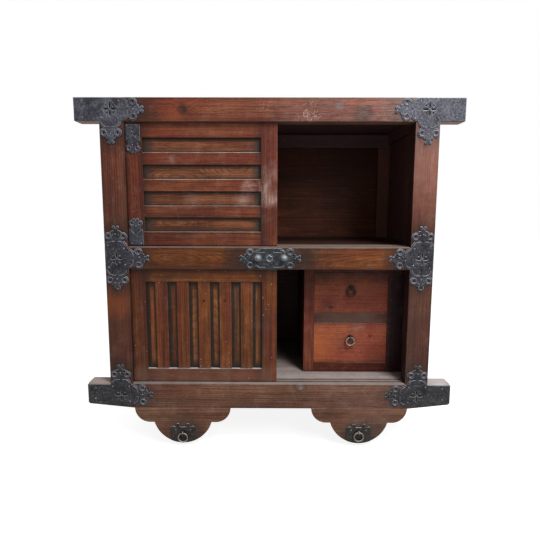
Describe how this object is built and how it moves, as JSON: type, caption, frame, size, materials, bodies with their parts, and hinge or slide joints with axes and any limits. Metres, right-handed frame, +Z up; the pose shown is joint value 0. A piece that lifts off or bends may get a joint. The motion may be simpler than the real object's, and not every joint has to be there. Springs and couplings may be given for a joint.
{
  "type": "wheeled merchant chest",
  "caption": "Low wooden chest on wheels with sliding lattice doors, an inner drawer unit, ring pulls and scrolled iron mounts on a protruding beam frame.",
  "frame": {"origin": "on the ground, in the middle of the whole outline seen from above", "axes": "+Z up, the front faces -Y, +X to the right of someone facing the front"},
  "size_m": [1.064, 0.5034, 1.004],
  "materials": {
    "frame_wood": "red-brown stained, worn satin lacquer",
    "door_wood": "red-brown stained, figured grain, satin",
    "panel_wood": "aged brown, matt",
    "inner_wood": "unfinished, aged and dusty",
    "drawer_wood": "orange-brown stained, satin",
    "wheel_wood": "worn, matt",
    "wrought_iron": "dark grey patina, hammered",
    "knob_iron": "rubbed grey, smooth",
    "ring_iron": "rubbed bronze-grey, smooth"
  },
  "bodies": {
    "case": {"top_front_beam": "frame_wood", "middle_front_rail": "frame_wood", "bottom_front_beam": "frame_wood", "left_front_post": "frame_wood", "right_front_post": "frame_wood", "top_rear_beam": "frame_wood", "middle_rear_rail": "frame_wood", "bottom_rear_beam": "frame_wood", "left_rear_post": "frame_wood", "right_rear_post": "frame_wood", "left_side_rails": "frame_wood", "right_side_rails": "frame_wood", "left_side_panels": "panel_wood", "right_side_panels": "panel_wood", "back_boards": "inner_wood", "top_boards": "inner_wood", "shelf_boards": "inner_wood", "floor_boards": "inner_wood", "ceiling_cleat": "inner_wood", "front_brackets": "frame_wood", "rear_brackets": "frame_wood", "wheel_axles": "wheel_wood", "axle_collars": "wheel_wood", "axle_pins": "wheel_wood", "unit_stiles": "frame_wood", "unit_rails": "frame_wood", "unit_left_side": "inner_wood", "unit_top_board": "inner_wood", "drawer_runners": "inner_wood", "top_irons": "wrought_iron", "middle_irons": "wrought_iron", "bottom_irons": "wrought_iron", "centre_plate": "wrought_iron", "centre_knobs": "knob_iron", "bracket_plates": "wrought_iron", "bracket_staples": "ring_iron"},
    "left_front_wheel": {"left_front_wheel": "wheel_wood"},
    "right_front_wheel": {"right_front_wheel": "wheel_wood"},
    "left_rear_wheel": {"left_rear_wheel": "wheel_wood"},
    "right_rear_wheel": {"right_rear_wheel": "wheel_wood"},
    "upper_drawer": {"upper_drawer_front": "drawer_wood", "upper_drawer_box": "inner_wood", "upper_drawer_staple": "ring_iron"},
    "upper_drawer_ring": {"upper_drawer_ring": "ring_iron"},
    "lower_drawer": {"lower_drawer_front": "drawer_wood", "lower_drawer_box": "inner_wood", "lower_drawer_staple": "ring_iron"},
    "lower_drawer_ring": {"lower_drawer_ring": "ring_iron"},
    "upper_front_door": {"upper_front_door_lattice": "door_wood", "upper_front_door_panel": "panel_wood", "upper_door_irons": "wrought_iron"},
    "upper_rear_door": {"upper_rear_door_lattice": "door_wood", "upper_rear_door_panel": "panel_wood"},
    "lower_front_door": {"lower_front_door_lattice": "door_wood", "lower_front_door_panel": "panel_wood"},
    "lower_rear_door": {"lower_rear_door_lattice": "door_wood", "lower_rear_door_panel": "panel_wood"},
    "left_bracket_ring": {"left_bracket_ring": "ring_iron"},
    "right_bracket_ring": {"right_bracket_ring": "ring_iron"}
  },
  "joints": [
    {"name": "upper_front_door_slide", "type": "slide", "parent": "case", "child": "upper_front_door", "axis": [1, 0, 0], "range_m": [0, 0.376]},
    {"name": "upper_rear_door_slide", "type": "slide", "parent": "case", "child": "upper_rear_door", "axis": [1, 0, 0], "range_m": [0, 0.376]},
    {"name": "lower_front_door_slide", "type": "slide", "parent": "case", "child": "lower_front_door", "axis": [1, 0, 0], "range_m": [0, 0.376]},
    {"name": "lower_rear_door_slide", "type": "slide", "parent": "case", "child": "lower_rear_door", "axis": [1, 0, 0], "range_m": [0, 0.376]},
    {"name": "upper_drawer_slide", "type": "slide", "parent": "case", "child": "upper_drawer", "axis": [0, 1, 0], "range_m": [-0.24, 0]},
    {"name": "lower_drawer_slide", "type": "slide", "parent": "case", "child": "lower_drawer", "axis": [0, 1, 0], "range_m": [-0.24, 0]},
    {"name": "upper_drawer_ring_hinge", "type": "hinge", "parent": "upper_drawer", "child": "upper_drawer_ring", "pos_m": [0.25225, -0.14525, 0.46525], "axis": [-1, 0, 0], "range_deg": [-5, 100]},
    {"name": "lower_drawer_ring_hinge", "type": "hinge", "parent": "lower_drawer", "child": "lower_drawer_ring", "pos_m": [0.25225, -0.14525, 0.30875], "axis": [-1, 0, 0], "range_deg": [-5, 100]},
    {"name": "left_bracket_ring_hinge", "type": "hinge", "parent": "case", "child": "left_bracket_ring", "pos_m": [-0.255, -0.246, 0.044], "axis": [-1, 0, 0], "range_deg": [-5, 100]},
    {"name": "right_bracket_ring_hinge", "type": "hinge", "parent": "case", "child": "right_bracket_ring", "pos_m": [0.267, -0.246, 0.048], "axis": [-1, 0, 0], "range_deg": [-5, 100]},
    {"name": "left_front_wheel_spin", "type": "hinge", "parent": "case", "child": "left_front_wheel", "pos_m": [-0.255, -0.1658, 0.075], "axis": [0, 1, 0], "continuous": true},
    {"name": "left_rear_wheel_spin", "type": "hinge", "parent": "case", "child": "left_rear_wheel", "pos_m": [-0.255, 0.1792, 0.075], "axis": [0, 1, 0], "continuous": true},
    {"name": "right_front_wheel_spin", "type": "hinge", "parent": "case", "child": "right_front_wheel", "pos_m": [0.267, -0.1658, 0.075], "axis": [0, 1, 0], "continuous": true},
    {"name": "right_rear_wheel_spin", "type": "hinge", "parent": "case", "child": "right_rear_wheel", "pos_m": [0.267, 0.1792, 0.075], "axis": [0, 1, 0], "continuous": true}
  ]
}
